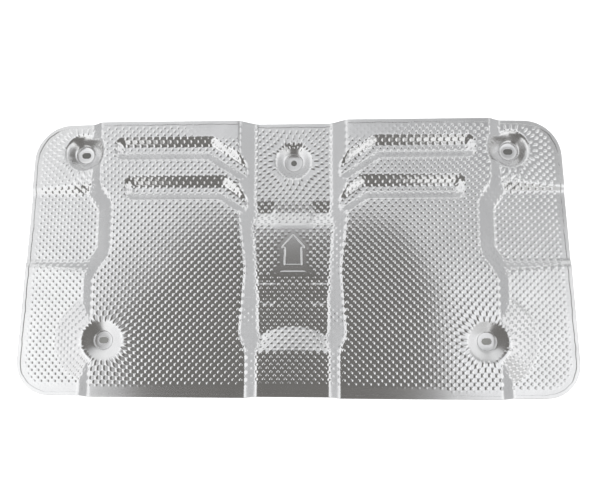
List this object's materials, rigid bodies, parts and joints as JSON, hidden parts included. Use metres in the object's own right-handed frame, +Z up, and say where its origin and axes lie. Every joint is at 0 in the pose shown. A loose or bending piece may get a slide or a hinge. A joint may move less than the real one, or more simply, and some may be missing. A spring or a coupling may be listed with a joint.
{
  "type": "exhaust heat shield",
  "caption": "Stamped, embossed aluminium heat shield with raised grooved panels, a stepped centre channel, recessed fixing cones and a folded edge.",
  "frame": {"origin": "middle of the sheet in plan, in the plane of the undersides of the centre seat and the upper seats", "axes": "+X along the length, +Y across it towards the edge with the centre hole, +Z up out of the visible side"},
  "size_m": [0.6112, 0.303, 0.0248],
  "materials": {
    "embossed_aluminium": "bright embossed sheet"
  },
  "bodies": {
    "root": {"heat_shield": "embossed_aluminium"}
  },
  "joints": []
}
